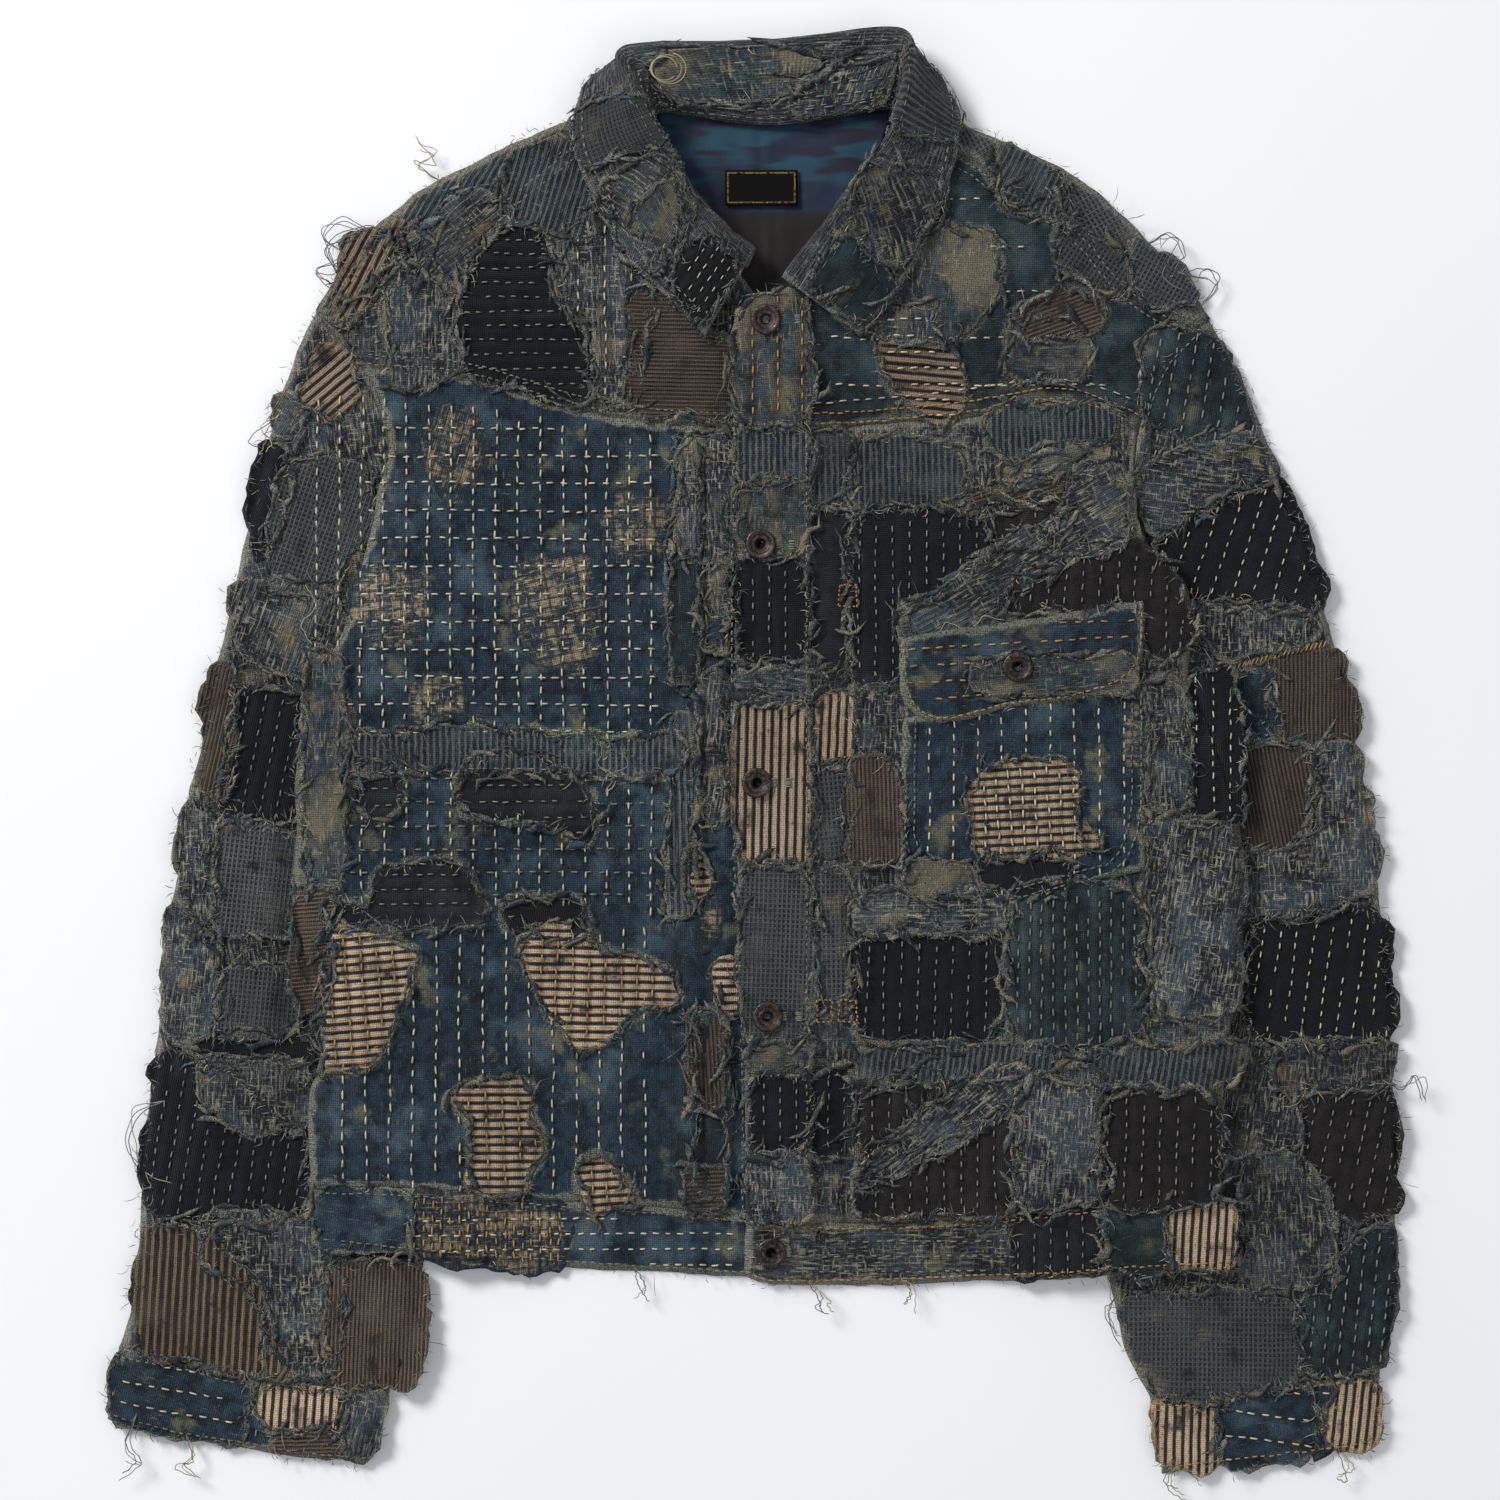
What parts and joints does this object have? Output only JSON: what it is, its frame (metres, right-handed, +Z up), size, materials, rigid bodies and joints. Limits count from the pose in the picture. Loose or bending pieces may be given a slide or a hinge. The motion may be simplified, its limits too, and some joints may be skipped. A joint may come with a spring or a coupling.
{
  "type": "patched boro jacket",
  "caption": "Short patched boro denim jacket laid flat, front up, with a turned-down collar, a flapped chest pocket, donut buttons and a waistband.",
  "frame": {"origin": "centre of the jacket's outline on the surface that it lies on", "axes": "+Z up out of the front of the laid jacket, +Y from hem to collar, +X towards the wearer's left sleeve"},
  "size_m": [0.7276, 0.8121, 0.0311],
  "materials": {
    "indigo_cloth": "faded indigo cotton with white running stitches",
    "grey_blue_cloth": "mottled grey-blue patched cotton, frayed",
    "teal_cloth": "teal indigo cotton, worn",
    "navy_cloth": "deep navy to charcoal cotton with stitched rows",
    "brown_cloth": "brown-black cotton with stitched rows",
    "striped_cloth": "tan cotton with dark woven stripes, worn",
    "ribbed_cloth": "fine ribbed brown and grey cotton",
    "lining": "teal and purple dyed cotton lining",
    "label": "woven black label, bare",
    "button_bronze": "aged bronze, satin, worn"
  },
  "bodies": {
    "root": {"back": "indigo_cloth", "back_yoke": "teal_cloth", "waistband_back": "indigo_cloth", "front_right": "indigo_cloth", "front_left": "grey_blue_cloth", "front_yoke_right": "grey_blue_cloth", "front_yoke_left": "teal_cloth", "shoulder_strip_right": "grey_blue_cloth", "shoulder_strip_left": "grey_blue_cloth", "waistband_right": "indigo_cloth", "waistband_left": "indigo_cloth", "placket": "grey_blue_cloth", "sleeve_right_under": "indigo_cloth", "sleeve_right_upper": "grey_blue_cloth", "sleeve_left_under": "indigo_cloth", "sleeve_left_upper": "grey_blue_cloth", "cuff_right_under": "indigo_cloth", "cuff_right_upper": "indigo_cloth", "cuff_left_under": "indigo_cloth", "cuff_left_upper": "indigo_cloth", "pocket": "indigo_cloth", "pocket_flap": "indigo_cloth", "neck_lining": "lining", "neck_label": "label", "collar": "grey_blue_cloth", "button_1": "button_bronze", "button_2": "button_bronze", "button_3": "button_bronze", "button_4": "button_bronze", "button_5": "button_bronze", "pocket_button": "button_bronze", "patch_yoke_black": "navy_cloth", "patch_yoke_rib": "ribbed_cloth", "patch_yoke_stripe": "striped_cloth", "patch_worn_olive": "striped_cloth", "patch_worn_plaid": "striped_cloth", "patch_charcoal": "navy_cloth", "patch_half_moon": "navy_cloth", "patch_stripe_side": "striped_cloth", "patch_stripe_centre": "striped_cloth", "patch_stripe_lower": "striped_cloth", "patch_stripe_hem": "striped_cloth", "patch_chest_navy": "navy_cloth", "patch_chest_brown": "brown_cloth", "patch_side_navy": "navy_cloth", "patch_rib_centre": "ribbed_cloth", "patch_belly_navy": "navy_cloth", "patch_belly_teal": "teal_cloth", "patch_lower_brown": "brown_cloth", "patch_lower_side": "brown_cloth", "patch_pocket_stripe": "striped_cloth", "patch_placket_black": "navy_cloth", "patch_placket_stripe": "striped_cloth", "patch_sleeve_left_navy": "navy_cloth", "patch_sleeve_left_stripe": "ribbed_cloth", "patch_forearm_left_navy": "navy_cloth", "patch_forearm_left_brown": "brown_cloth", "patch_forearm_right_navy": "navy_cloth", "patch_forearm_right_black": "navy_cloth"}
  },
  "joints": []
}
